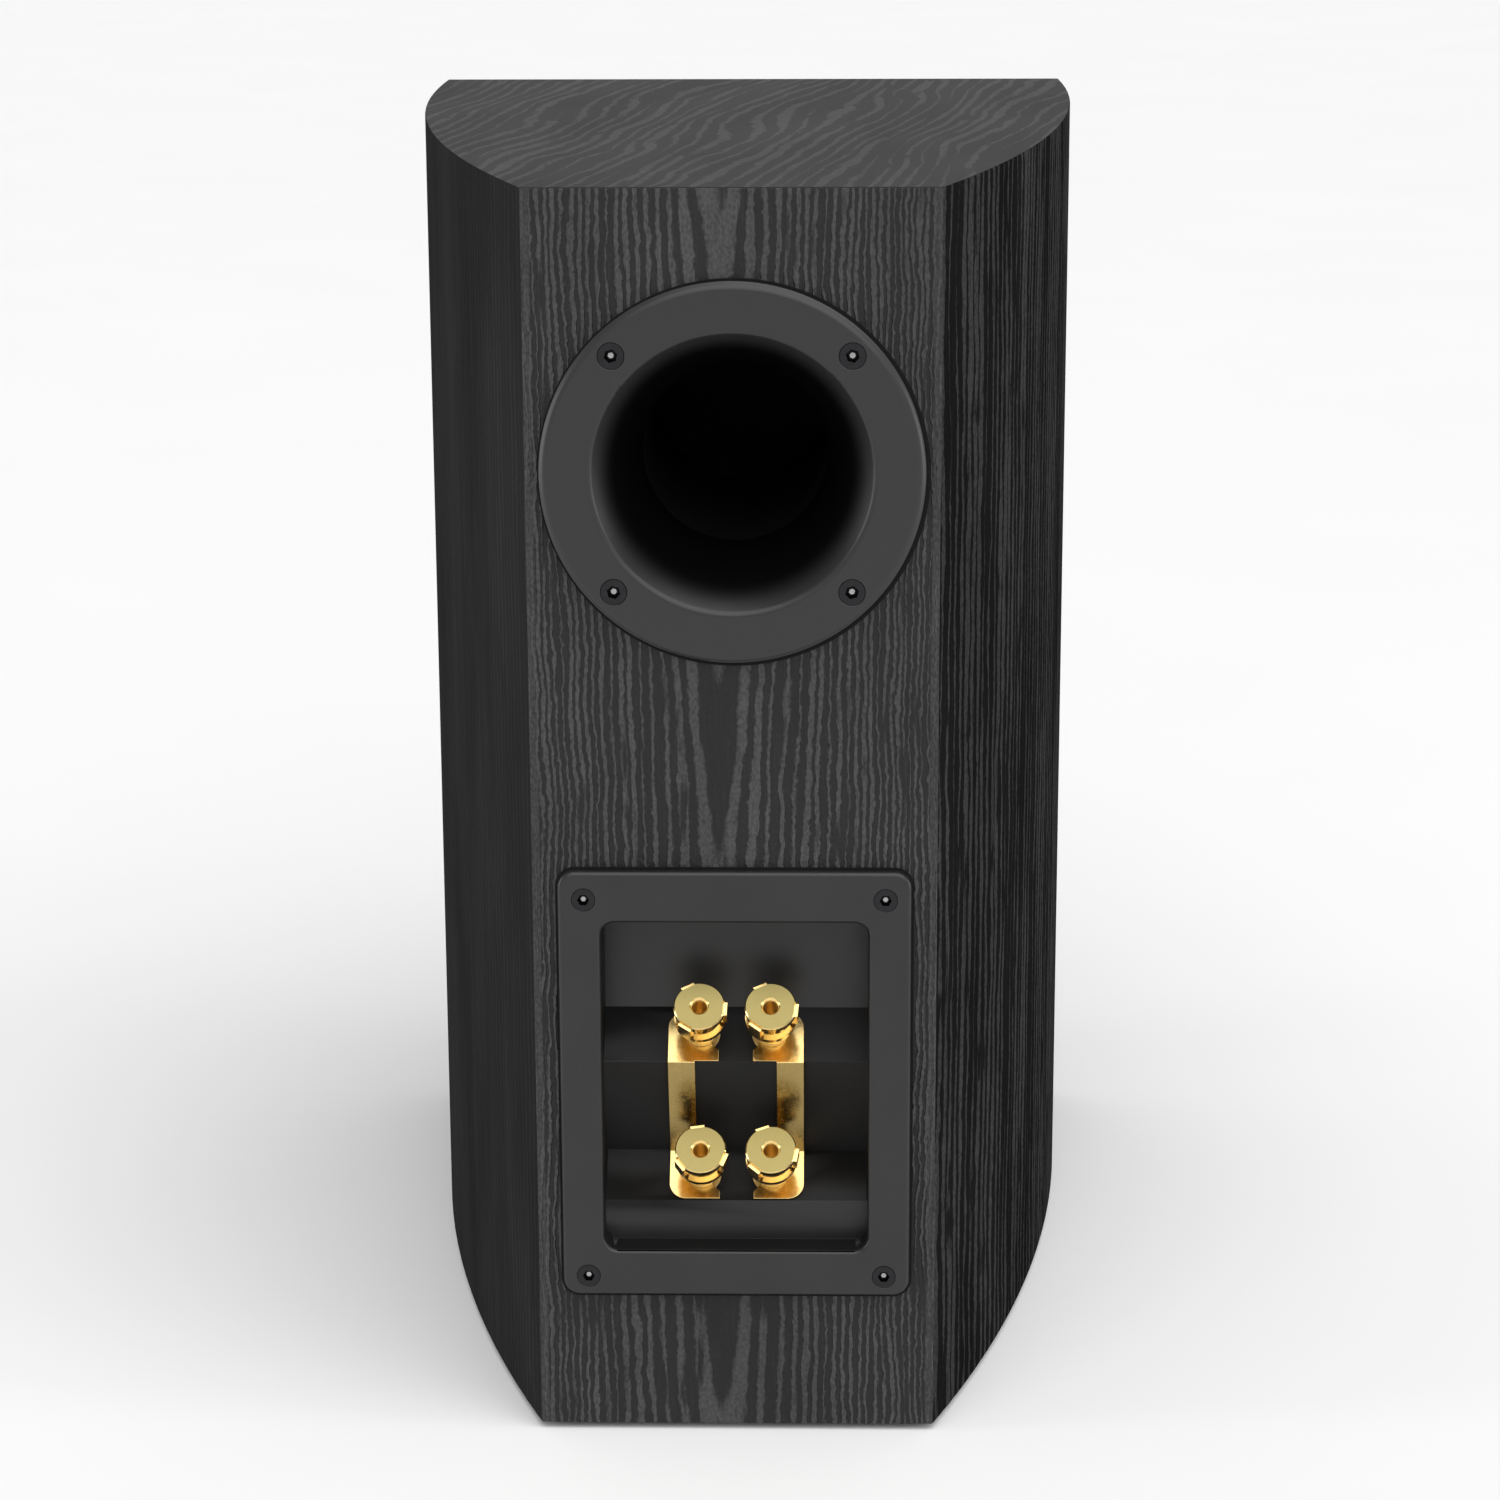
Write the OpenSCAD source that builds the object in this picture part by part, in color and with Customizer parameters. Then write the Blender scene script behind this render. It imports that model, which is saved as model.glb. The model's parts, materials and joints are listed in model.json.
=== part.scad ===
// Two-way bookshelf speaker with a curved cabinet, a rear port and four binding posts.
// The front faces -Y, the back faces +Y, and the origin is under the middle of the whole speaker.
// Left and right are named as seen from behind, so "left" is the +X side.

/* [Cabinet] */
// Height of the cabinet without its feet
cab_h = 340; // [330:1:370]
// Depth of the cabinet from front to back
cab_d = 270; // [262:1:285]
// Widest width, across both curved sides
cab_w = 196; // [192:1:210]
// Width of the flat back
back_w = 108; // [104:1:120]
// Distance from the back at which the cabinet is widest
widest_v = 237; // [228:1:246]
// Thickness of the side, top and bottom panels
wall = 15; // [12:0.5:16]
// Thickness of the rear panel
rear_t = 18; // [15:1:20]
// Thickness of the front baffle
baffle_t = 20; // [18:1:24]
// Height of the rubber feet
foot_h = 2; // [1.5:0.5:4]

/* [Rear port] */
// Height of the port's axis above the cabinet's underside
port_z = 266.4; // [264:0.2:270]
// Radius of the port's straight throat
throat_r = 24.5; // [22:0.5:26]
// Radius of the flared mouth at the flange's face
mouth_r = 37.8; // [36:0.2:39]
// Radius of the flange where it meets the panel
port_flange_r = 50; // [49:0.5:52]
// Length of the port, from the flange's face to its inner end
port_len = 118; // [90:1:125]

/* [Terminal cup] */
// Height of the flange's centre above the cabinet's underside
cup_z = 99.4; // [98:0.2:101]
// Width of the flange
cup_flange_w = 94; // [93:0.5:96]
// Height of the flange
cup_flange_h = 120.4; // [120:0.2:122]
// Width of the recess
cup_open_w = 71.4; // [70:0.2:73]
// Height of the recess
cup_open_h = 93.2; // [93:0.2:94]
// Distance between the left and right posts
post_pitch = 19.05; // [19:0.05:20]
// Radius of the banana socket in each post
banana_r = 2; // [2:0.05:2.05]

/* [Drivers] */
// Height of the woofer's axis above the cabinet's underside
woofer_z = 103; // [100:1:106]
// Outer radius of the woofer's frame
woofer_r = 83; // [80:0.5:84]
// Height of the tweeter's axis above the cabinet's underside
tweeter_z = 246; // [243:1:250]
// Outer radius of the tweeter's faceplate
tweeter_r = 52; // [50:0.5:53]

/* [Hidden] */
$fn = 96;
eps = 0.01;
gap = 0.05;

// Heights of the cabinet's underside and top, and of what sits between top and bottom panels.
z_low = foot_h;
z_high = foot_h + cab_h;
inner_low = z_low + wall;
inner_h = cab_h - 2 * wall;

// Binding post, measured along its own axis outwards from the sloping seat in the cup.
post_tilt = 45;
knob_top = 17.3;
knob_face_r = 6.6;

// Plan outline: each side is one arc from the back corner, through the widest point, forwards.
half_w = cab_w / 2;
side_bulge = half_w - back_w / 2;
side_arc_r = (side_bulge * side_bulge + widest_v * widest_v) / (2 * side_bulge);
skin = 3;

// Section of the terminal cup's stepped floor: distance out from the back, height from centre.
cup_t = 3.5;
cup_wall = 2.5;
cup_drop = 0.6;
recess_top = cup_open_h / 2 - cup_drop;
recess_low = -cup_open_h / 2 - cup_drop;
valley_out = -16;
valley_1 = [valley_out, 16];
ridge_1 = [-4.4, 4.4];
valley_2 = [valley_out, -25.5];
ridge_2 = [-5.5, -36];
slope = [cos(45), -sin(45)];
outward = [cos(45), sin(45)];
undercut = (valley_2 - ridge_1) / norm(valley_2 - ridge_1);
undercut_out = [-undercut[1], undercut[0]];
seat_upper = (valley_1 + ridge_1) / 2;
seat_lower = (valley_2 + ridge_2) / 2;
post_x = post_pitch / 2;

// How far the woofer's roll and the upper knobs stand out, which centres the whole in Y.
surround_out = 4;
knob_out = seat_upper[0] + (knob_top + knob_face_r) * cos(post_tilt);
y_back = cab_d / 2 + (surround_out - knob_out) / 2;
y_front = y_back - cab_d;

cup_screw_x = 40.1;
cup_screw_up = 52.4;
cup_screw_down = -54.6;

// Jumper plates that link an upper post with the lower post on the same side.
jumper_t = 1.2;
jumper_in = 4.6;
jumper_out = 18.4;
jumper_strip = 7.4;
slot_r = 3.2;
tab_up = 6;

stud_r = 3;
thread_r = stud_r + gap;
washer_r = 4.4;
washer_low = jumper_t + 3 * gap;
washer_high = washer_low + 1;
stud_top = 16;
stud_tail = -13;

port_t = 3.5;
port_screw_pcd = 87.5;
flare_len = 35;
spigot_r = throat_r + 2.6;
flare_r = (pow(mouth_r - throat_r, 2) + flare_len * flare_len) / (2 * (mouth_r - throat_r));
gasket_t = 1;

driver_t = 3.5;
woofer_screw_r = 78.2;
tweeter_screw_r = 45.5;
grille_x = 84;
grille_low = 24;
grille_high = cab_h - 24;
board_y = y_back - 112;
board_z = inner_low + 7;

// ---------------------------------------------------------------- helpers

// Where the line through p along a crosses the line through q along b.
function meet(p, a, q, b) =
    p + a * (((q[0] - p[0]) * b[1] - (q[1] - p[1]) * b[0]) / (a[0] * b[1] - a[1] * b[0]));

// Puts a drawing on the back: x runs right as seen from behind, y up, z out of the back.
module on_back(height) {
    translate([0, y_back, z_low + height]) rotate([90, 0, 180]) children();
}

// Puts a drawing on the front: x runs right, y up, z out of the front.
module on_front(height) {
    translate([0, y_front, z_low + height]) rotate([90, 0, 0]) children();
}

// Extrudes a section drawn as [out of the back, height] across the width, from x0 to x1.
module across(x0, x1, height) {
    translate([x0, y_back, z_low + height]) rotate([90, 0, 90]) linear_extrude(x1 - x0) children();
}

// Puts a drawing on a post's seat, with z along the post; side is 1 on the left, -1 on the right.
module on_seat(side, seat) {
    translate([side * post_x, y_back + seat[0], z_low + cup_z + seat[1]])
        rotate([-post_tilt, 0, 0]) children();
}

module ring(outer_r, inner_r, low, high) {
    translate([0, 0, low]) difference() {
        cylinder(r = outer_r, h = high - low);
        translate([0, 0, -1]) cylinder(r = inner_r, h = high - low + 2);
    }
}

module rounded_rect(w, h, r) {
    square([w - 2 * r, h], center = true);
    square([w, h - 2 * r], center = true);
    for (sx = [-1, 1], sy = [-1, 1])
        translate([sx * (w / 2 - r), sy * (h / 2 - r)]) circle(r);
}

// Plan of the cabinet, with its curved sides moved in by inset, between two distances from the back.
module plan(inset, v0, v1) {
    intersection() {
        side_arc(1, inset);
        side_arc(-1, inset);
        translate([-half_w, y_back - v1]) square([cab_w, v1 - v0]);
    }
}

module side_arc(side, inset) {
    translate([side * (half_w - side_arc_r), y_back - widest_v])
        circle(side_arc_r - inset, $fn = 720);
}

module panel(inset, v0, v1, low, high) {
    translate([0, 0, low]) linear_extrude(high - low) plan(inset, v0, v1);
}

// Socket-head screw along z with the top of its head at z = 0.
module socket_screw(head_r, head_h, shank_r, length, socket_r) {
    difference() {
        union() {
            translate([0, 0, -head_h]) cylinder(r = head_r, h = head_h);
            translate([0, 0, -length]) cylinder(r = shank_r, h = length - head_h + eps);
        }
        translate([0, 0, -head_h * 0.75]) cylinder(r = socket_r, h = head_h, $fn = 6);
    }
}

// Pocket and hole that a socket_screw sits in, cut from a plate whose face is at z = 0.
module screw_seat(head_r, head_h, shank_r, length) {
    translate([0, 0, -head_h]) cylinder(r = head_r + gap, h = head_h + 1);
    translate([0, 0, -length]) cylinder(r = shank_r + gap, h = length);
}

module port_screw_places() {
    for (turn = [45 : 90 : 315]) rotate(turn) translate([port_screw_pcd / 2, 0, port_t]) children();
}

module cup_screw_places() {
    for (sx = [-1, 1], y = [cup_screw_up, cup_screw_down])
        translate([sx * cup_screw_x, y, cup_t]) children();
}

module woofer_screw_places() {
    for (turn = [22.5 : 45 : 337.5]) rotate(turn) translate([woofer_screw_r, 0, 0]) children();
}

module tweeter_screw_places() {
    for (turn = [45 : 90 : 315]) rotate(turn) translate([tweeter_screw_r, 0, 0]) children();
}

module foot_places() {
    for (side = [-1, 1]) {
        translate([side * 42, y_back - 26, 0]) children();
        translate([side * 74, y_front + 30, 0]) children();
    }
}

module board_corners() {
    for (sx = [-1, 1], sy = [-1, 1])
        translate([sx * 48, board_y + sy * 34, 0]) children();
}

module grille_places() {
    for (side = [-1, 1], z = [grille_low, grille_high])
        translate([side * grille_x, y_front, z_low + z]) rotate([90, 0, 0]) children();
}

// ---------------------------------------------------------------- cabinet

module front_baffle() {
    color("#262626") difference() {
        panel(skin, cab_d - baffle_t, cab_d, inner_low, inner_low + inner_h);
        on_front(woofer_z) {
            translate([0, 0, -driver_t - gasket_t]) cylinder(r = woofer_r + 0.3, h = 10);
            translate([0, 0, -30]) cylinder(r = 72, h = 40);
            woofer_screw_places() translate([0, 0, -18]) cylinder(r = 2 + gap, h = 20);
        }
        on_front(tweeter_z) {
            translate([0, 0, -driver_t - gasket_t]) cylinder(r = tweeter_r + 0.3, h = 10);
            translate([0, 0, -30]) cylinder(r = 38, h = 40);
            tweeter_screw_places() translate([0, 0, -18]) cylinder(r = 1.75 + gap, h = 20);
        }
        grille_places() {
            translate([0, 0, -12]) cylinder(r = 4.5, h = 14);
            translate([0, 0, -1]) cylinder(r = 6 + gap, h = 3);
        }
    }
}

module rear_panel() {
    color("#2f2f2f") difference() {
        panel(skin, 0, rear_t, inner_low, inner_low + inner_h);
        on_back(port_z) {
            translate([0, 0, -30]) cylinder(r = 42, h = 40);
            port_screw_places() translate([0, 0, -18]) cylinder(r = 1.9 + gap, h = 20);
        }
        on_back(cup_z) {
            translate([0, -cup_drop, -30]) linear_extrude(40) cup_cutout(1.2);
            cup_screw_places() translate([0, 0, -18]) cylinder(r = 1.6 + gap, h = 20);
        }
    }
}

module side_panel(side) {
    color("#2b2b2b") intersection() {
        difference() {
            panel(0, 0, cab_d, inner_low, inner_low + inner_h);
            panel(wall, -1, cab_d + 1, inner_low - 1, inner_low + inner_h + 1);
            panel(skin, -1, rear_t, inner_low - 1, inner_low + inner_h + 1);
            panel(skin, cab_d - baffle_t, cab_d + 1, inner_low - 1, inner_low + inner_h + 1);
        }
        translate([side > 0 ? 0 : -cab_w, y_front - 1, 0]) cube([cab_w, cab_d + 2, z_high]);
    }
}

module left_side_panel() side_panel(1);

module right_side_panel() side_panel(-1);

module top_panel() {
    color("#4a4a4a") panel(0, 0, cab_d, z_high - wall, z_high);
}

module bottom_panel() {
    color("#2b2b2b") difference() {
        panel(0, 0, cab_d, z_low, inner_low);
        foot_places() translate([0, 0, z_low - 1]) cylinder(r = 1.6 + gap, h = 11);
        board_corners() translate([0, 0, inner_low - 9]) cylinder(r = 1.3 + gap, h = 10);
    }
}

// Windowed shelf between the woofer and the tweeter that ties the four walls together.
module shelf_brace() {
    low = z_low + 192;
    color("#8a6f4a") difference() {
        panel(wall, rear_t, cab_d - baffle_t, low, low + 12);
        for (v = [70, 170]) translate([0, y_back - v, low - 1]) linear_extrude(14)
            rounded_rect(v > 100 ? 104 : 84, 74, 10);
    }
}

// Soft lining along both side walls, above and below the shelf.
module side_wadding() {
    color("#d8d2c4") for (side = [-1, 1], band = [[40, 186], [210, 318]]) intersection() {
        difference() {
            panel(wall + 0.2, 40, 180, z_low + band[0], z_low + band[1]);
            panel(wall + 11, 36, 190, z_low, z_high);
        }
        translate([side > 0 ? 0 : -cab_w, y_front, 0]) cube([cab_w, cab_d, z_high]);
    }
}

module rubber_feet() {
    color("#141414") foot_places() difference() {
        cylinder(r = 9, h = foot_h);
        translate([0, 0, -1]) cylinder(r = 1.7, h = foot_h + 2);
        translate([0, 0, -1]) cylinder(r = 3.3, h = 1 + foot_h - 0.8);
    }
}

module foot_screws() {
    color("#7d7d7d") foot_places() union() {
        translate([0, 0, foot_h - 1.5]) cylinder(r = 3, h = 0.7);
        translate([0, 0, foot_h - 0.81]) cylinder(r = 1.6, h = 9);
    }
}

module grille_sockets() {
    color("#101010") grille_places() union() {
        ring(4.5, 2.5, -11, 0);
        ring(6, 2.5, -1, 0);
        translate([0, 0, -12]) cylinder(r = 4.5, h = 1 + eps);
    }
}

// ---------------------------------------------------------------- port

module port_flange() {
    color("#454545") on_back(port_z) difference() {
        union() {
            cylinder(r = port_flange_r, h = port_t - 1.3);
            translate([0, 0, port_t - 1.3 - eps])
                cylinder(r1 = port_flange_r, r2 = port_flange_r - 1.3, h = 1.3 + eps);
            translate([0, 0, port_t - flare_len]) cylinder(r = 41.5, h = flare_len - port_t + eps);
        }
        rotate_extrude() difference() {
            translate([0, port_t - flare_len - 1]) square([mouth_r, flare_len + 1 + eps]);
            translate([throat_r + flare_r, port_t - flare_len]) circle(flare_r, $fn = 360);
        }
        translate([0, 0, port_t - flare_len - 1]) cylinder(r = throat_r, h = 2);
        // The back of the flare is turned away so that the wall stays thin and seats the tube.
        rotate_extrude() polygon([
            [spigot_r, port_t - flare_len - 1], [42, port_t - flare_len - 1],
            [42, -rear_t], [mouth_r + 0.2, -rear_t + 2], [spigot_r + 4, port_t - flare_len + 12],
            [spigot_r, port_t - flare_len + 12]
        ]);
        ring(port_flange_r - 1.5, 41.5, -1, gasket_t);
        port_screw_places() screw_seat(3.4, 2, 1.9, 8);
    }
}

module port_gasket() {
    color("#0c0c0c") on_back(port_z) difference() {
        ring(port_flange_r - 1.6, 42, 0, gasket_t);
        port_screw_places() translate([0, 0, -8]) cylinder(r = 2.1, h = 12);
    }
}

module port_tube() {
    spigot_end = port_t - flare_len;
    color("#1a1a1a") on_back(port_z) union() {
        ring(throat_r + 5, spigot_r + gap, spigot_end - gap, spigot_end + 11);
        ring(throat_r + 5, throat_r, spigot_end - 5, spigot_end - gap + eps);
        ring(spigot_r, throat_r, port_t - port_len, spigot_end - 5 + eps);
    }
}

module port_screws() {
    color("#161616") on_back(port_z) port_screw_places() socket_screw(3.4, 2, 1.9, 18, 1.8);
}

// ---------------------------------------------------------------- terminal cup

// Section of the recess, and the same section thickened by the wall of the moulding.
module recess_section() {
    polygon([
        [cup_t + 1, recess_top], [valley_out, recess_top], valley_1, ridge_1, valley_2, ridge_2,
        [ridge_2[0], recess_low], [cup_t + 1, recess_low]
    ]);
}

module shell_section() {
    back_1 = valley_1 - outward * cup_wall;
    back_2 = valley_2 - outward * cup_wall;
    back_c = ridge_1 - undercut_out * cup_wall;
    polygon([
        [0.5, recess_top + cup_wall], [valley_out - cup_wall, recess_top + cup_wall],
        meet(back_1, slope, [valley_out - cup_wall, 0], [0, 1]),
        meet(back_1, slope, back_c, undercut), meet(back_2, slope, back_c, undercut),
        meet(back_2, slope, [ridge_2[0] - cup_wall, 0], [0, 1]),
        [ridge_2[0] - cup_wall, recess_low - cup_wall], [0.5, recess_low - cup_wall]
    ]);
}

module terminal_cup() {
    reach = cup_open_w / 2;
    color("#3b3b3b") difference() {
        union() {
            on_back(cup_z) linear_extrude(cup_t) rounded_rect(cup_flange_w, cup_flange_h, 4.5);
            intersection() {
                across(-reach - cup_wall, reach + cup_wall, cup_z) shell_section();
                on_back(cup_z - cup_drop) translate([0, 0, -40]) linear_extrude(60) cup_cutout(0);
            }
        }
        intersection() {
            across(-reach, reach, cup_z) recess_section();
            on_back(cup_z - cup_drop) translate([0, 0, -40]) linear_extrude(60)
                rounded_rect(cup_open_w, cup_open_h, 4);
        }
        on_back(cup_z) {
            difference() {
                translate([0, 0, -1]) linear_extrude(1 + gasket_t)
                    rounded_rect(cup_flange_w - 2.4, cup_flange_h - 2.4, 3.4);
                translate([0, -cup_drop, -2]) linear_extrude(5) cup_cutout(0);
            }
            cup_screw_places() screw_seat(3.1, 1.8, 1.6, 8);
        }
        for (side = [-1, 1], seat = [seat_upper, seat_lower]) on_seat(side, seat) {
            translate([0, 0, -10]) cylinder(r = thread_r, h = 12);
            translate([0, 0, -1]) cylinder(r = 5.2 + gap, h = 3);
        }
    }
}

module cup_cutout(extra) {
    rounded_rect(cup_open_w + 2 * cup_wall + extra, cup_open_h + 2 * cup_wall + extra, 4.4);
}

module terminal_gasket() {
    color("#0c0c0c") on_back(cup_z) difference() {
        linear_extrude(gasket_t) rounded_rect(cup_flange_w - 2.6, cup_flange_h - 2.6, 3.3);
        translate([0, -cup_drop, -1]) linear_extrude(4) cup_cutout(1);
        cup_screw_places() translate([0, 0, -8]) cylinder(r = 1.9, h = 12);
    }
}

module terminal_screws() {
    color("#161616") on_back(cup_z) cup_screw_places() socket_screw(3.1, 1.8, 1.6, 18, 1.6);
}

// ---------------------------------------------------------------- binding posts

// Threaded post with a flange sunk in the seat, a banana socket and a hole for bare wire.
module post_stud() {
    color("#b8860b") difference() {
        union() {
            translate([0, 0, stud_tail]) cylinder(r = stud_r, h = stud_top - stud_tail);
            translate([0, 0, -1]) cylinder(r = 5.2, h = 1);
        }
        translate([0, 0, 2]) cylinder(r = banana_r, h = stud_top);
        translate([0, 0, 4.2]) rotate([0, 90, 0]) cylinder(r = 1.2, h = 20, center = true);
    }
}

module clamp_washer() {
    color("#d4af37") ring(washer_r, thread_r, washer_low, washer_high);
}

// Knurled nut: satin face, three gripping ears, waist, flange and a shank that clamps the wire.
module post_knob(first_ear) {
    shank_low = washer_high + gap;
    color("#c9a227") difference() {
        union() {
            translate([0, 0, shank_low]) cylinder(r = 4.2, h = knob_top - shank_low - 1);
            translate([0, 0, knob_top - 8.1]) cylinder(r = knob_face_r + 0.3, h = 1.5);
            translate([0, 0, knob_top - 7]) cylinder(r = knob_face_r - 0.5, h = 6.5);
            translate([0, 0, knob_top - 2]) cylinder(r = knob_face_r + 0.3, h = 1.7);
            translate([0, 0, knob_top - 0.3 - eps])
                cylinder(r1 = knob_face_r + 0.3, r2 = knob_face_r, h = 0.3 + eps);
            for (k = [0 : 2]) rotate(first_ear + 120 * k)
                translate([knob_face_r - 1.4, -1.9, knob_top - 5.2]) cube([2.2, 3.8, 4.2]);
        }
        for (k = [0 : 2]) rotate(first_ear + 120 * k)
            translate([knob_face_r - 0.3, -1.9, knob_top - 1]) cube([3, 3.8, 2]);
        translate([0, 0, shank_low - 1]) cylinder(r = thread_r, h = stud_top - shank_low + 1.15);
        translate([0, 0, stud_top]) cylinder(r = banana_r, h = 3);
        translate([0, 0, knob_top - 0.6]) cylinder(r1 = banana_r, r2 = banana_r + 0.6, h = 0.61);
    }
}

module post_nuts() {
    color("#b0a070") for (side = [-1, 1], seat = [seat_upper, seat_lower]) on_seat(side, seat) {
        for (top = [-cup_wall, -cup_wall - 4]) difference() {
            translate([0, 0, top - 3]) cylinder(r = 5.5, h = 3, $fn = 6);
            translate([0, 0, top - 4]) cylinder(r = thread_r, h = 5);
        }
    }
}

module solder_lugs() {
    top = -cup_wall - 3;
    color("#c8c8c8") for (side = [-1, 1], seat = [seat_upper, seat_lower]) on_seat(side, seat)
        difference() {
            union() {
                translate([0, 0, top - 0.8]) cylinder(r = 4.8, h = 0.6);
                translate([0, -2, top - 0.8]) mirror([side > 0 ? 0 : 1, 0, 0]) cube([15, 4, 0.6]);
            }
            translate([0, 0, top - 2]) cylinder(r = thread_r, h = 4);
            translate([side * 12, 0, top - 2]) cylinder(r = 1.1, h = 4);
        }
}

module post_stud_upper_left() on_seat(1, seat_upper) post_stud();

module post_stud_upper_right() on_seat(-1, seat_upper) post_stud();

module post_stud_lower_left() on_seat(1, seat_lower) post_stud();

module post_stud_lower_right() on_seat(-1, seat_lower) post_stud();

module clamp_washer_upper_left() on_seat(1, seat_upper) clamp_washer();

module clamp_washer_upper_right() on_seat(-1, seat_upper) clamp_washer();

module clamp_washer_lower_left() on_seat(1, seat_lower) clamp_washer();

module clamp_washer_lower_right() on_seat(-1, seat_lower) clamp_washer();

module post_knob_upper_left() on_seat(1, seat_upper) post_knob(297);

module post_knob_upper_right() on_seat(-1, seat_upper) post_knob(294);

module post_knob_lower_left() on_seat(1, seat_lower) post_knob(278);

module post_knob_lower_right() on_seat(-1, seat_lower) post_knob(290);

// Bent plate along the stepped floor, from the upper seat over the ridge to the lower seat.
module jumper_section() {
    upper_end = seat_upper - slope * tab_up;
    lower_end = ridge_2;
    inner_b = seat_upper + outward * gap;
    outer_b = seat_upper + outward * (gap + jumper_t);
    inner_c = ridge_1 + undercut_out * gap;
    outer_c = ridge_1 + undercut_out * (gap + jumper_t);
    inner_d = seat_lower + outward * gap;
    outer_d = seat_lower + outward * (gap + jumper_t);
    polygon([
        upper_end + outward * gap, meet(inner_b, slope, inner_c, undercut),
        meet(inner_d, slope, inner_c, undercut), lower_end + outward * gap,
        lower_end + outward * (gap + jumper_t), meet(outer_d, slope, outer_c, undercut),
        meet(outer_b, slope, outer_c, undercut), upper_end + outward * (gap + jumper_t)
    ]);
}

// What is cut from a tab, in its seat's frame: the slot, its bevelled mouth and a round corner.
module tab_cuts(side, corner_y, corner_dir) {
    corner_r = 4.5;
    reach = post_x - jumper_in;
    far = jumper_out - post_x;
    translate([0, 0, -2]) mirror([side > 0 ? 0 : 1, 0, 0]) linear_extrude(6) {
        circle(slot_r);
        translate([-reach - 1, -slot_r]) square([reach + 1, 2 * slot_r]);
        polygon([
            [-reach - 1, slot_r + 3], [-reach, slot_r + 2], [-reach + 2, slot_r - eps],
            [-reach + 2, -slot_r + eps], [-reach, -slot_r - 2], [-reach - 1, -slot_r - 3]
        ]);
        difference() {
            translate([far - corner_r, corner_dir > 0 ? corner_y - corner_r : corner_y - 1])
                square([corner_r + 1, corner_r + 1]);
            translate([far - corner_r, corner_y - corner_dir * corner_r]) circle(corner_r);
        }
    }
}

module jumper(side) {
    inner_edge = side > 0 ? jumper_in : -jumper_out;
    window = side > 0 ? jumper_in - 1 : -jumper_out + jumper_strip;
    window_w = jumper_out - jumper_in - jumper_strip + 1;
    window_low = valley_2[1] + 3;
    color("#b8962e") difference() {
        across(inner_edge, inner_edge + jumper_out - jumper_in, cup_z) jumper_section();
        translate([window, y_back - 40, z_low + cup_z + window_low])
            cube([window_w, 60, ridge_1[1] + 0.6 - window_low]);
        on_seat(side, seat_upper) tab_cuts(side, -tab_up, -1);
        on_seat(side, seat_lower) tab_cuts(side, norm(ridge_2 - seat_lower), 1);
    }
}

module jumper_left() jumper(1);

module jumper_right() jumper(-1);

// ---------------------------------------------------------------- woofer

module woofer_frame() {
    color("#1d1d1d") on_front(woofer_z) difference() {
        rotate_extrude() polygon([
            [woofer_r, 0], [75.2, 0], [75.2, -1.3], [69.8, -1.3], [69.8, -12], [56.2, -31],
            [51, -31], [51, -33], [54.5, -33], [47.5, -42], [47.5, -44.5], [15, -44.5],
            [15, -46], [49.5, -46], [49.5, -43], [71.8, -12], [71.8, -driver_t],
            [woofer_r, -driver_t]
        ]);
        for (turn = [0 : 60 : 300]) rotate(turn) hull() {
            translate([54, 0, -25]) rotate([0, 90, 0]) cylinder(r = 5, h = 30, $fn = 32);
            translate([54, 0, -19]) rotate([0, 90, 0]) cylinder(r = 10, h = 30, $fn = 32);
        }
        woofer_screw_places() screw_seat(3.6, 2, 2, 8);
    }
}

module woofer_gasket() {
    color("#0c0c0c") on_front(woofer_z) difference() {
        ring(woofer_r - 0.5, 72.2, -driver_t - gasket_t, -driver_t);
        woofer_screw_places() translate([0, 0, -8]) cylinder(r = 2.2, h = 12);
    }
}

module woofer_screws() {
    color("#161616") on_front(woofer_z) woofer_screw_places() socket_screw(3.6, 2, 2, 18, 1.9);
}

module woofer_top_plate() {
    color("#8f9296") on_front(woofer_z) ring(45, 13.7, -52, -46);
}

module woofer_magnet() {
    color("#26282b") on_front(woofer_z) ring(42, 22, -68, -52);
}

module woofer_back_plate() {
    color("#8f9296") on_front(woofer_z) difference() {
        union() {
            translate([0, 0, -74]) cylinder(r = 45, h = 6);
            translate([0, 0, -74]) cylinder(r = 12, h = 28);
        }
        translate([0, 0, -75]) cylinder(r = 4, h = 40);
    }
}

// Half-roll rubber edge from the cone to the frame.
module woofer_surround() {
    color("#1a1a1a") on_front(woofer_z) rotate_extrude() union() {
        translate([67, -1.2]) difference() {
            circle(5.2);
            circle(4.2);
            translate([-6, -12]) square([12, 12]);
        }
        translate([58.5, -1.2]) square([4.3, 1]);
        translate([71.2, -1.2]) square([3.1, 1]);
    }
}

// Corrugated spring disc that centres the voice coil.
module woofer_spider() {
    pitch = 4;
    rolls = 7;
    color("#7a2419") on_front(woofer_z) translate([0, 0, -31]) rotate_extrude() union() {
        for (k = [0 : rolls - 1])
            translate([17 + k * pitch, k % 2 == 0 ? 0 : 0.8]) difference() {
                circle(2.4, $fn = 48);
                circle(1.6, $fn = 48);
                translate([-4, k % 2 == 0 ? -8 : 0]) square([8, 8]);
            }
        translate([13.3, 0]) square([2.1, 0.8]);
        translate([14.2 + rolls * pitch, 0]) square([13, 0.8]);
    }
}

module woofer_cone() {
    color("#222324") on_front(woofer_z) rotate_extrude() polygon([
        [13.3, -27], [14.6, -27], [24, -19.6], [42, -9.8], [58, -2.4], [62.6, -2.4],
        [62.6, -1.35], [57.6, -1.35], [41.4, -8.8], [23.2, -18.6], [13.3, -26]
    ]);
}

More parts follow.
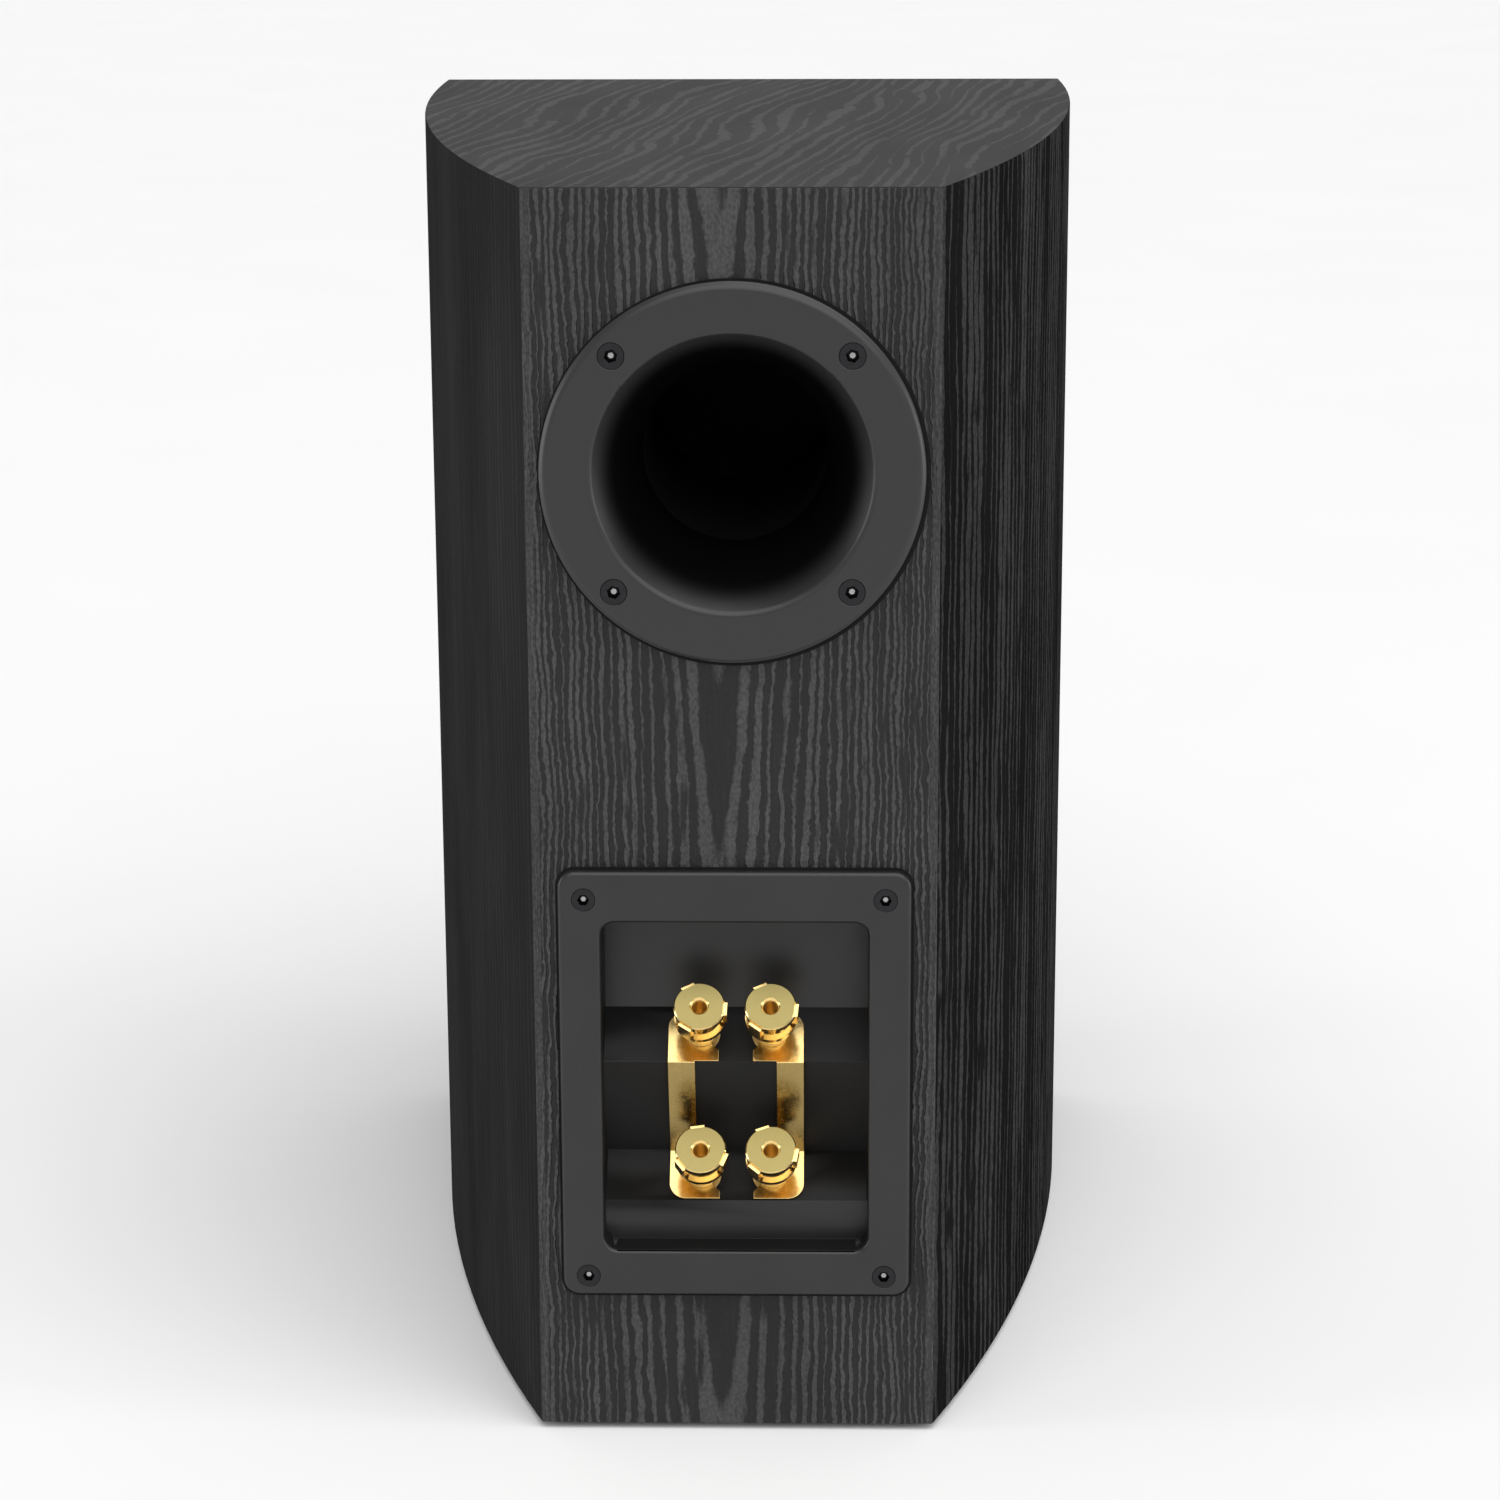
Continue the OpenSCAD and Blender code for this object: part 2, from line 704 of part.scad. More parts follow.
module woofer_dust_cap() {
    cap_r = 34;
    cap_edge = sqrt(cap_r * cap_r - 22 * 22);
    color("#17181a") on_front(woofer_z) translate([0, 0, -19 - cap_edge])
        rotate_extrude() intersection() {
            difference() {
                circle(cap_r, $fn = 200);
                circle(cap_r - 0.9, $fn = 200);
            }
            translate([0, cap_edge]) square(40);
        }
}

module woofer_voice_coil() {
    color("#a86b32") on_front(woofer_z) union() {
        ring(13.2, 12.5, -60, -26);
        ring(13.45, 12.9, -57, -43);
    }
}

// ---------------------------------------------------------------- tweeter

module tweeter_faceplate() {
    color("#1d1d1d") on_front(tweeter_z) difference() {
        union() {
            ring(tweeter_r, 16.2, -driver_t, 0);
            ring(37, 16.2, -8, -driver_t + eps);
        }
        translate([0, 0, -6]) cylinder(r1 = 16.2, r2 = 27, h = 6.01);
        tweeter_screw_places() screw_seat(3.3, 1.8, 1.75, 8);
    }
}

module tweeter_gasket() {
    color("#0c0c0c") on_front(tweeter_z) difference() {
        ring(tweeter_r - 0.5, 38.2, -driver_t - gasket_t, -driver_t);
        tweeter_screw_places() translate([0, 0, -8]) cylinder(r = 2, h = 12);
    }
}

module tweeter_screws() {
    color("#161616") on_front(tweeter_z) tweeter_screw_places()
        socket_screw(3.3, 1.8, 1.75, 18, 1.7);
}

// Magnet and back plate with a pole that stands inside the dome's coil.
module tweeter_motor() {
    color("#2a2c2f") on_front(tweeter_z) union() {
        ring(36, 13.6, -12, -8);
        ring(35, 20, -24, -12 + eps);
        translate([0, 0, -29]) cylinder(r = 36, h = 5 + eps);
        translate([0, 0, -26]) cylinder(r = 12, h = 17);
    }
}

module tweeter_surround() {
    color("#121212") on_front(tweeter_z) rotate_extrude() union() {
        translate([14.75, -7]) difference() {
            circle(1.3, $fn = 48);
            circle(0.9, $fn = 48);
            translate([-3, -6]) square([6, 6]);
        }
        translate([15.65, -8]) square([0.4, 1 + eps]);
    }
}

module tweeter_dome() {
    dome_r = 15;
    dome_edge = sqrt(dome_r * dome_r - 13.3 * 13.3);
    color("#101113") on_front(tweeter_z) union() {
        translate([0, 0, -7 - dome_edge]) rotate_extrude() intersection() {
            difference() {
                circle(dome_r, $fn = 160);
                circle(dome_r - 0.5, $fn = 160);
            }
            translate([0, dome_edge]) square(30);
        }
        ring(13.25, 12.7, -11.5, -6.6);
    }
}

// ---------------------------------------------------------------- crossover

module crossover_board() {
    color("#2e5d34") difference() {
        translate([-54, board_y - 40, board_z]) cube([108, 80, 1.6]);
        board_corners() translate([0, 0, board_z - 1]) cylinder(r = 1.6, h = 4);
    }
}

module crossover_standoffs() {
    color("#c9c9c9") board_corners() union() {
        ring(3.5, 1.35, inner_low, board_z);
        translate([0, 0, board_z + 1.6]) cylinder(r = 2.8, h = 1.6);
        translate([0, 0, inner_low - 8]) cylinder(r = 1.3, h = board_z - inner_low + 10);
    }
}

module crossover_coils() {
    top = board_z + 1.6;
    color("#b4632d") {
        translate([-22, board_y + 12, top]) ring(19, 8, 0, 16);
        translate([30, board_y - 15, top + 15]) rotate([90, 0, 0]) ring(15, 6, -7, 7);
    }
}

module crossover_capacitors() {
    top = board_z + 1.6;
    color("#c9a13a") for (k = [0 : 2])
        translate([8, board_y + 6 + 12 * k, top + 5.2]) rotate([0, 90, 0])
            cylinder(r = 5, h = 34);
}

module crossover_resistors() {
    top = board_z + 1.6;
    color("#e6e2d6") for (k = [0 : 1])
        translate([-44 + 26 * k, board_y - 34, top]) cube([22, 9, 9]);
}

// ---------------------------------------------------------------- internal wires

wire_r = 1.1;

// Routes are lists of points: across, distance in from the back, height above the underside.
woofer_route = [
    [48, 112, 24], [48, 112, 32], [49, 118, 46], [52, 132, 62], [54, 150, 76], [55, 170, 88],
    [55, 188, 96], [54, 202, 101], [52, 212, 103], [51, 220, 103], [51, 226, 103]
];
tweeter_route = [
    [-50, 100, 24], [-50, 99, 36], [-49, 96, 60], [-49, 92, 84], [-49, 88, 110], [-49, 84, 140],
    [-48, 80, 165], [-46, 77, 182], [-36, 76, 198], [-30, 80, 212], [-30, 105, 224],
    [-34, 150, 232], [-34, 190, 238], [-30, 215, 242], [-24, 230, 245], [-23, 240.9, 246]
];
input_route = [
    [26, 16, 104], [26, 26, 102], [27, 38, 92], [29, 48, 76], [31, 58, 58], [33, 67, 42],
    [34, 73, 32], [34, 75, 24]
];

function route_point(p, side, shift) =
    [side * p[0] + shift, y_back - p[1], z_low + p[2]];

function unit(v) = v / norm(v);

// Ring of points round the route at point i, square to the route there.
function ring_points(path, i, r) =
    let (
        ahead = unit(path[min(i + 1, len(path) - 1)] - path[max(i - 1, 0)]),
        across_axis = unit(cross(ahead, [0.83, 0.2, -0.52])),
        up_axis = cross(ahead, across_axis)
    )
    [for (k = [0 : 7]) path[i] + r * (cos(45 * k) * across_axis + sin(45 * k) * up_axis)];

module wire(route, side, shift) {
    path = [for (p = route) route_point(p, side, shift)];
    points = [for (i = [0 : len(path) - 1]) each ring_points(path, i, wire_r)];
    last = 8 * (len(path) - 1);
    faces = concat(
        [[for (k = [0 : 7]) k]],
        [for (i = [0 : len(path) - 2], k = [0 : 7])
            [8 * i + k, 8 * i + 8 + k, 8 * i + 8 + (k + 1) % 8, 8 * i + (k + 1) % 8]],
        [[for (k = [7 : -1 : 0]) last + k]]
    );
    polyhedron(points = points, faces = faces, convexity = 6);
}

module red_wires() {
    color("#b3201f") {
        wire(woofer_route, 1, 0);
        wire(tweeter_route, 1, 0);
        wire(input_route, 1, 0);
    }
}

module black_wires() {
    color("#181818") {
        wire(woofer_route, 1, 5);
        wire(tweeter_route, 1, 5);
        wire(input_route, -1, 0);
    }
}

front_baffle();
rear_panel();
left_side_panel();
right_side_panel();
top_panel();
bottom_panel();
shelf_brace();
side_wadding();
rubber_feet();
foot_screws();
grille_sockets();
port_flange();
port_tube();
port_gasket();
port_screws();
terminal_cup();
terminal_gasket();
terminal_screws();
post_nuts();
solder_lugs();
post_stud_upper_left();
post_stud_upper_right();
post_stud_lower_left();
post_stud_lower_right();
clamp_washer_upper_left();
clamp_washer_upper_right();
clamp_washer_lower_left();
clamp_washer_lower_right();
post_knob_upper_left();
post_knob_upper_right();
post_knob_lower_left();
post_knob_lower_right();
jumper_left();
jumper_right();
woofer_frame();
woofer_gasket();
woofer_screws();
woofer_top_plate();
woofer_magnet();
woofer_back_plate();
woofer_surround();
woofer_spider();
woofer_cone();
woofer_dust_cap();
woofer_voice_coil();
tweeter_faceplate();
tweeter_gasket();
tweeter_screws();
tweeter_motor();
tweeter_surround();
tweeter_dome();
crossover_board();
crossover_standoffs();
crossover_coils();
crossover_capacitors();
crossover_resistors();
red_wires();
black_wires();
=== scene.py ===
import json
import math

import bmesh
import bpy
from mathutils import Matrix, Vector, noise


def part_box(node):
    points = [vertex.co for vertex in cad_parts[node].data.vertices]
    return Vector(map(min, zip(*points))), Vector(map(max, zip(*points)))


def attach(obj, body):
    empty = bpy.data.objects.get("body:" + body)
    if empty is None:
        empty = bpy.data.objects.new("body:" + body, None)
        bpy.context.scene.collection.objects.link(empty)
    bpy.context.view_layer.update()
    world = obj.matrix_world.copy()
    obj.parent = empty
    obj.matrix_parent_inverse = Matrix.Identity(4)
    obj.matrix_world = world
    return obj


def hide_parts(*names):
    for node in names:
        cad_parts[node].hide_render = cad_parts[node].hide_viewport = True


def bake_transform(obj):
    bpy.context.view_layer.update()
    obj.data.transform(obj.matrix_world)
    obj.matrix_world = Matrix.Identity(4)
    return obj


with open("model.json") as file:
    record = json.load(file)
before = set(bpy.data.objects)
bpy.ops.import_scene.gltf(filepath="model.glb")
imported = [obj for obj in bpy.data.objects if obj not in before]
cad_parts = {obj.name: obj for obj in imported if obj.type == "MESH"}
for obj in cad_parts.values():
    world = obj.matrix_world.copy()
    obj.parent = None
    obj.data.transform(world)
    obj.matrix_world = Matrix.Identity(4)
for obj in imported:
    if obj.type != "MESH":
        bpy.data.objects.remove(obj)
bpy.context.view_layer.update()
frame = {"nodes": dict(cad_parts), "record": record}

MM = 0.001
WELD = 2e-6                             # vertices this near are one, in metres
FLAT = math.radians(0.08)               # faces that meet at less are merged
CREASE = math.radians(18)               # refine never rounds an edge that turns less
ARRIS = (0.5, 3)                        # rounding of the cabinet's edges: radius in mm, segments
NODES = frame["nodes"]
BODY_OF = {n: b for b, ns in frame["record"]["behaviour"]["bodies"].items() for n in ns}
SLOT_OF = {s["node"]: s["material_slot"] for s in frame["record"]["subparts"]}
Y_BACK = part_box("rear_panel")[1].y
Y_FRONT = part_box("front_baffle")[0].y
Z_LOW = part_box("bottom_panel")[0].z
Z_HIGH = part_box("top_panel")[1].z
BACK_HALF = max(v.co.x for v in NODES["top_panel"].data.vertices if v.co.y > Y_BACK - 0.05 * MM)
FRONT_HALF = 0.095                      # only the outer corners of the front lie past this


def centre(node):
    low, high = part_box(node)
    return (low + high) / 2


def add_object(name, data):
    obj = bpy.data.objects.new(name, data)
    bpy.context.scene.collection.objects.link(obj)
    return obj


def as_mesh(bm, name):
    """The bmesh as a new mesh. The bmesh itself is freed."""
    mesh = bpy.data.meshes.new(name)
    bm.to_mesh(mesh)
    bm.free()
    return mesh


def smooth_faces(mesh):
    for face in mesh.polygons:
        face.use_smooth = True


# ---------------------------------------------------------------- materials

class Nodes:
    """A material's node tree, with short ways to add nodes and wire them up."""

    def __init__(self, name):
        self.mat = bpy.data.materials.new(name)
        self.mat.use_nodes = True
        self.tree = self.mat.node_tree
        self.shader = self.tree.nodes["Principled BSDF"]
        coords = self.tree.nodes.new("ShaderNodeTexCoord")
        self.object = coords.outputs["Object"]

    def put(self, socket, value):
        if isinstance(value, bpy.types.NodeSocket):
            self.tree.links.new(value, socket)
        elif value is not None:
            socket.default_value = value

    def math(self, op, a, b=None, c=None, clamp=False):
        node = self.tree.nodes.new("ShaderNodeMath")
        node.operation = op
        node.use_clamp = clamp
        for socket, value in zip(node.inputs, (a, b, c)):
            self.put(socket, value)
        return node.outputs[0]

    def dot(self, vector, axis):
        node = self.tree.nodes.new("ShaderNodeVectorMath")
        node.operation = "DOT_PRODUCT"
        self.put(node.inputs[0], vector)
        self.put(node.inputs[1], axis)
        return node.outputs["Value"]

    def join(self, x, y, z):
        node = self.tree.nodes.new("ShaderNodeCombineXYZ")
        for socket, value in zip(node.inputs, (x, y, z)):
            self.put(socket, value)
        return node.outputs[0]

    def noise(self, vector, scale=1.0, detail=2.0, rough=0.5):
        node = self.tree.nodes.new("ShaderNodeTexNoise")
        self.put(node.inputs["Vector"], vector)
        self.put(node.inputs["Scale"], scale)
        self.put(node.inputs["Detail"], detail)
        self.put(node.inputs["Roughness"], rough)
        return node.outputs["Fac"]

    def off_axis(self, mid):
        """Distance from the line through mid that runs from front to back."""
        dx = self.math("SUBTRACT", self.dot(self.object, (1, 0, 0)), mid.x)
        dz = self.math("SUBTRACT", self.dot(self.object, (0, 0, 1)), mid.z)
        squares = self.math("ADD", self.math("MULTIPLY", dx, dx), self.math("MULTIPLY", dz, dz))
        return self.math("SQRT", squares)

    def stretched(self, a, la, b, lb, seed, detail=2.0, rough=0.5):
        """Noise minus a half, with its own scale along each of two directions."""
        vector = self.join(self.math("MULTIPLY", a, la), self.math("MULTIPLY", b, lb), seed)
        return self.math("SUBTRACT", self.noise(vector, 1.0, detail, rough), 0.5)

    def spread(self, value, low, high, out_low=0.0, out_high=1.0, smooth=True):
        node = self.tree.nodes.new("ShaderNodeMapRange")
        node.interpolation_type = "SMOOTHSTEP" if smooth else "LINEAR"
        for key, v in (("Value", value), ("From Min", low), ("From Max", high),
                       ("To Min", out_low), ("To Max", out_high)):
            self.put(node.inputs[key], v)
        return node.outputs["Result"]

    def mix(self, factor, a, b):
        node = self.tree.nodes.new("ShaderNodeMix")
        node.data_type = "RGBA"
        self.put(node.inputs["Factor"], factor)
        for socket, value in ((node.inputs[6], a), (node.inputs[7], b)):
            self.put(socket, (*value, 1) if isinstance(value, tuple) else value)
        return node.outputs[2]

    def bump(self, height, distance, strength=1.0):
        node = self.tree.nodes.new("ShaderNodeBump")
        self.put(node.inputs["Height"], height)
        self.put(node.inputs["Distance"], distance)
        self.put(node.inputs["Strength"], strength)
        self.tree.links.new(node.outputs[0], self.shader.inputs["Normal"])

    def finish(self, colour, roughness, metallic=0.0, specular=0.5, sheen=0.0):
        inputs = self.shader.inputs
        self.put(inputs["Base Color"], (*colour, 1) if isinstance(colour, tuple) else colour)
        self.put(inputs["Roughness"], roughness)
        self.put(inputs["Metallic"], metallic)
        self.put(inputs["Specular IOR Level"], specular)
        self.put(inputs["Sheen Weight"], sheen)
        return self.mat


def shade(colour, factor):
    return tuple(c * factor for c in colour)


ARCH_TIP = 0.000008                     # rounds the tips of the arches, in square metres
STRIP_WANDER, STRIP_SOFT = 0.0012, 0.0003   # how far the strip's edge strays, and its softness


def ash(name, across, along, seed, density, sway, wobble, fray, gap, ink, light, depth, gloss,
        arch=None, strip=None):
    """Black ash wrap with raised wavy ridges. density = ridges per metre and how fast it rises away from
    the middle; sway, wobble and fray = bends in mm, from long to short; gap = narrowest and widest dark
    share; ink and light = colours between and on the ridges; depth = their height; gloss = specular;
    arch = (middle, half width, points per metre); strip = distance from the middle beyond which the wrap
    is an even mid tone. Each pair of scales is for noise across and along the grain."""
    m = Nodes(name)
    a, run = m.dot(m.object, across), m.dot(m.object, along)
    bent = m.math("MULTIPLY_ADD", m.stretched(a, 16, run, 5, seed, 2), sway * MM, a)
    bent = m.math("MULTIPLY_ADD", m.stretched(a, 120, run, 42, seed + 3, 2), wobble * MM, bent)
    bent = m.math("MULTIPLY_ADD", m.stretched(a, 420, run, 260, seed + 7, 2, 0.6), fray * MM, bent)
    if arch:
        mid, half, points = arch
        side = m.math("SUBTRACT", bent, mid)
        s = m.math("SQRT", m.math("MULTIPLY_ADD", side, side, ARCH_TIP))
        phase = m.math("MULTIPLY", s, m.math("MULTIPLY_ADD", s, density[1], density[0]))
        share = m.math("DIVIDE", s, half)
        fall = m.math("DIVIDE", 1.0, m.math("MULTIPLY_ADD", share, share, 1.0))
        phase = m.math("SUBTRACT", phase, m.math("MULTIPLY", m.math("MULTIPLY", run, points), fall))
    else:
        phase = m.math("MULTIPLY", bent, density[0])
    crest = m.math("MULTIPLY", m.math("PINGPONG", phase, 0.5), 2.0)
    width = m.stretched(phase, 0.7, run, 7, seed + 11, 1)
    edge = m.spread(width, -0.22, 0.22, *gap, smooth=False)
    mask = m.spread(m.math("SUBTRACT", crest, edge), -0.13, 0.13)
    broken = m.spread(m.stretched(a, 260, run, 38, seed + 17, 2), -0.20, -0.05)
    mask = m.math("MULTIPLY", mask, broken)
    if strip is not None:
        wander = m.math("MULTIPLY", m.stretched(run, 40, run, 0, seed + 31), STRIP_WANDER)
        outside = m.math("SUBTRACT", m.math("ABSOLUTE", m.math("ADD", a, wander)), strip)
        mask = m.math("MAXIMUM", mask, m.spread(outside, -STRIP_SOFT, STRIP_SOFT, 0.0, 0.42))
    faint = m.spread(m.stretched(a, 230, run, 70, seed + 41, 2), -0.25, 0.2, 0.55, 1.05)
    mask = m.math("MULTIPLY", mask, faint)
    pebbles = m.stretched(a, 1300, run, 800, seed + 23, 1)
    streaks = m.stretched(a, 1600, run, 70, seed + 37, 2)
    rim = m.math("MULTIPLY", m.math("SUBTRACT", 1.0, mask), mask)
    pebbled = m.math("MULTIPLY_ADD", mask, 1.1, 0.25)
    tone = m.math("MULTIPLY_ADD", pebbles, pebbled, m.math("MULTIPLY", mask, 0.8))
    tone = m.math("MULTIPLY_ADD", streaks, 0.42, tone)
    tone = m.math("MULTIPLY_ADD", rim, m.math("MULTIPLY_ADD", pebbles, 2.4, 0.9), tone, clamp=True)
    patches = m.spread(m.stretched(a, 34, run, 11, seed + 29, 2), -0.3, 0.3, 0.82, 1.18)
    scaled = m.tree.nodes.new("ShaderNodeVectorMath")
    scaled.operation = "SCALE"
    m.put(scaled.inputs[0], m.mix(tone, ink, light))
    m.put(scaled.inputs["Scale"], patches)
    m.bump(m.math("MULTIPLY_ADD", pebbles, 0.35, mask), depth)
    roughness = m.spread(tone, 0.0, 1.0, 0.56, 0.44, smooth=False)
    return m.finish(scaled.outputs[0], roughness, specular=gloss)


def moulded(name, colour, roughness, grain=2200, depth=0.03, specular=0.4):
    """Moulded plastic or paint with a fine pebbled skin and a little unevenness in gloss."""
    m = Nodes(name)
    skin = m.noise(m.object, grain, 2.0, 0.6)
    blotch = m.noise(m.object, 38.0, 3.0)
    tint = m.mix(m.spread(blotch, 0.3, 0.7), shade(colour, 0.86), shade(colour, 1.14))
    m.bump(skin, depth * MM)
    rough = m.spread(blotch, 0.25, 0.75, roughness - 0.04, roughness + 0.05)
    return m.finish(tint, rough, specular=specular)


def throat_shaded(name, colour, roughness, node, bright, dark):
    """Moulded plastic painted darker and less glossy towards the middle of a round mouth: painted shade
    inside the throat.
    """
    m = Nodes(name)
    radius = m.off_axis(centre(node))
    unshaded_share = m.spread(radius, dark * MM, bright * MM)
    m.bump(m.noise(m.object, 2600, 2.0, 0.6), 0.02 * MM)
    tint = m.mix(unshaded_share, shade(colour, 0.12), colour)
    return m.finish(tint, roughness, specular=m.spread(unshaded_share, 0.0, 1.0, 0.06, 0.5))


def metal(name, colour, roughness, lines=None, depth=0.004, spots=0.05):
    """Plated or turned metal. lines = an axis along which fine turning marks follow one another."""
    m = Nodes(name)
    dust = m.noise(m.object, 900.0, 3.0)
    if lines:
        grooves = m.noise(m.join(m.math("MULTIPLY", m.dot(m.object, lines), 9000.0), 0.0, 0.0), 1.0, 1.0)
        m.bump(grooves, depth * MM)
    else:
        m.bump(dust, depth * MM)
    tint = m.mix(m.spread(dust, 0.3, 0.7), shade(colour, 0.93), shade(colour, 1.05))
    rough = m.spread(dust, 0.3, 0.7, max(0.03, roughness - spots), roughness + spots)
    return m.finish(tint, rough, metallic=1.0)


def cloth(name, colour, weave, depth, sheen=0.3):
    """Woven or felted stuff. weave = how fast its threads follow one another, in radians per metre."""
    m = Nodes(name)
    x, z = (m.dot(m.object, axis) for axis in ((1, 0, 0), (0, 0, 1)))
    warp = m.math("SINE", m.math("MULTIPLY", x, weave))
    weft = m.math("SINE", m.math("MULTIPLY", z, weave))
    over = m.math("MULTIPLY", warp, weft)
    fuzz = m.noise(m.object, weave * 0.7, 3.0, 0.7)
    lift = m.math("MULTIPLY_ADD", over, 0.3, fuzz)
    m.bump(lift, depth * MM)
    tint = m.mix(m.spread(lift, 0.1, 0.9), shade(colour, 0.7), shade(colour, 1.15))
    return m.finish(tint, 0.85, sheen=sheen, specular=0.2)


def rings(name, colour, pitch, node, depth, roughness, metallic=0.0):
    """Fine rings round a driver's axis, as in a felted cone or a wound coil."""
    m = Nodes(name)
    radius = m.off_axis(centre(node))
    groove = m.math("SINE", m.math("MULTIPLY", radius, 2 * math.pi / (pitch * MM)))
    fibre = m.noise(m.object, 800.0, 4.0, 0.65)
    lift = m.math("MULTIPLY_ADD", groove, 0.25, fibre)
    m.bump(lift, depth * MM)
    tint = m.mix(m.spread(fibre, 0.3, 0.7), shade(colour, 0.8), shade(colour, 1.25))
    return m.finish(tint, roughness, metallic=metallic, specular=0.35)


INK, LIGHT = (0.0135, 0.0135, 0.0138), (0.060, 0.060, 0.061)
# One wrap, but each face has its own tones: besides its own grain, the top is painted lighter and the
# sides darker than the back, as painted light and shade.
ASH = {
    "back": ash("ash_back", (1, 0, 0), (0, 0, 1), 3.1, (83, 5000), 9, 3.2, 1.7, (0.30, 0.80), INK, LIGHT,
                0.00065, 0.24, arch=(0.004, 0.022, 12), strip=BACK_HALF - 2.4 * MM),
    "left": ash("ash_left", (0, 1, 0), (0, 0, 1), 21.7, (300, 0), 7, 2.3, 0.7, (0.45, 0.95),
                (0.0225, 0.0225, 0.023), (0.031, 0.031, 0.0315), 0.00006, 0.0),
    "right": ash("ash_right", (0, 1, 0), (0, 0, 1), 47.3, (210, 0), 16, 4.5, 1.8, (0.15, 1.02),
                 (0.0085, 0.0085, 0.0088), (0.043, 0.043, 0.0435), 0.00016, 0.0),
    "top": ash("ash_top", (0.985, -0.17, 0), (0.17, 0.985, 0), 71.9, (200, 0), 40, 4.0, 1.4, (0.25, 1.10),
               (0.036, 0.036, 0.0365), (0.050, 0.050, 0.0505), 0.00016, 0.10),
    "front": ash("ash_front", (1, 0, 0), (0, 0, 1), 88.2, (280, 0), 9, 3.2, 1.4, (0.3, 0.85), INK, LIGHT,
                 0.00026, 0.2),
}

GOLD = (0.79, 0.58, 0.24)
FINISH = {
    "black_ash_vinyl": ASH["back"],
    "baffle_vinyl": ASH["front"],
    "raw_board": moulded("raw_fibreboard", (0.36, 0.25, 0.15), 0.85, 700, 0.2, 0.2),
    "wadding": cloth("polyester_wadding", (0.74, 0.71, 0.64), 900, 0.8),
    "rubber": moulded("foot_rubber", (0.016, 0.016, 0.016), 0.75, 1500, 0.03, 0.3),
    "zinc_steel": metal("zinc_plate", (0.62, 0.62, 0.6), 0.35),
    "moulded_black": moulded("cup_plastic", (0.0120, 0.0120, 0.0123), 0.36, 2600, 0.012, 0.5),
    "port_black": throat_shaded("port_plastic_painted_shade", (0.0155, 0.0155, 0.0158), 0.38, "port_flange", 36.6, 30.5),
    "tube_black": moulded("tube_plastic", (0.006, 0.006, 0.006), 0.6, 1800, 0.02, 0.1),
    "foam_gasket": moulded("gasket_foam", (0.006, 0.006, 0.006), 0.9, 1200, 0.15, 0.2),
    "black_screw": metal("black_oxide", (0.034, 0.034, 0.036), 0.38),
    "gold_plate": metal("gold_polished", GOLD, 0.2, spots=0.04),
    "knob_gold": metal("gold_turned", GOLD, 0.17, spots=0.03),
    "nickel_brass": metal("turned_brass", (0.66, 0.58, 0.4), 0.3),
    "frame_black": moulded("frame_paint", (0.012, 0.012, 0.0125), 0.42, 1500, 0.05),
    "plated_steel": metal("plated_steel", (0.5, 0.51, 0.52), 0.3),
    "ferrite": moulded("ferrite_magnet", (0.03, 0.03, 0.032), 0.6, 900, 0.06),
    "surround_rubber": moulded("butyl_rubber", (0.011, 0.011, 0.011), 0.5, 1400, 0.02, 0.45),
    "spider_cloth": cloth("spider_weave", (0.30, 0.05, 0.03), 6000, 0.08, 0.1),
    "cone_pulp": rings("cone_paper", (0.020, 0.020, 0.021), 1.6, "woofer_cone", 0.05, 0.55),
    "dust_cap_dark": rings("dust_cap_paper", (0.014, 0.014, 0.015), 1.1, "woofer_dust_cap", 0.03, 0.42),
    "copper_winding": metal("enamelled_copper", (0.72, 0.36, 0.18), 0.28, lines=(0, 1, 0), depth=0.05),
    "silk_dome": cloth("coated_silk", (0.012, 0.012, 0.014), 9000, 0.02, 0.15),
    "circuit_board": moulded("solder_mask", (0.03, 0.14, 0.06), 0.35, 500, 0.02, 0.5),
    "film_capacitor": moulded("film_wrap", (0.68, 0.48, 0.10), 0.3, 300, 0.02, 0.5),
    "cement_resistor": moulded("cement_body", (0.80, 0.78, 0.72), 0.8, 900, 0.08, 0.3),
    "red_sleeve": moulded("red_pvc", (0.50, 0.03, 0.025), 0.4, 600, 0.02, 0.5),
    "black_sleeve": moulded("black_pvc", (0.015, 0.015, 0.015), 0.4, 600, 0.02, 0.5),
}
SATIN_GOLD = metal("gold_satin", (0.36, 0.295, 0.115), 0.48, spots=0.05)
# Painted shade: near-black paint for the contact shadow at each flange's foot and inside the screw
# pockets.
CONTACT_SHADE = moulded("painted_contact_shadow", (0.002, 0.002, 0.002), 0.9, 2600, 0.02, 0.05)
# Painted shade: dark paint inside each screw socket.
SOCKET_SHADE = metal("socket_painted_shade", (0.012, 0.012, 0.012), 0.5)
# Painted light: a bright gold for the knobs' bores and the studs inside them.
BORE_LIGHT_GOLD = metal("gold_bore_painted_light", (1.0, 0.74, 0.30), 0.38, spots=0.05)
# Painted shade: a darker gold for the jumpers' downward faces.
STRIP_SHADE_GOLD = metal("gold_strip_painted_shade", (0.40, 0.29, 0.11), 0.24, spots=0.04)
# Painted shade: darker copies of the cup plastic for the floors, walls and undersides of the recess.
RECESS_FLOOR_SHADE = moulded("cup_plastic_satin_painted_shade", (0.0085, 0.0085, 0.0087), 0.5, 2600, 0.02, 0.22)
RECESS_WALL_SHADE = moulded("cup_plastic_matt_painted_shade", (0.005, 0.005, 0.0052), 0.5, 2600, 0.02, 0.3)
# Painted glint: bright steel for the middle of each screw socket's floor.
GLINT_STEEL = metal("socket_painted_glint", (0.42, 0.42, 0.42), 0.28)

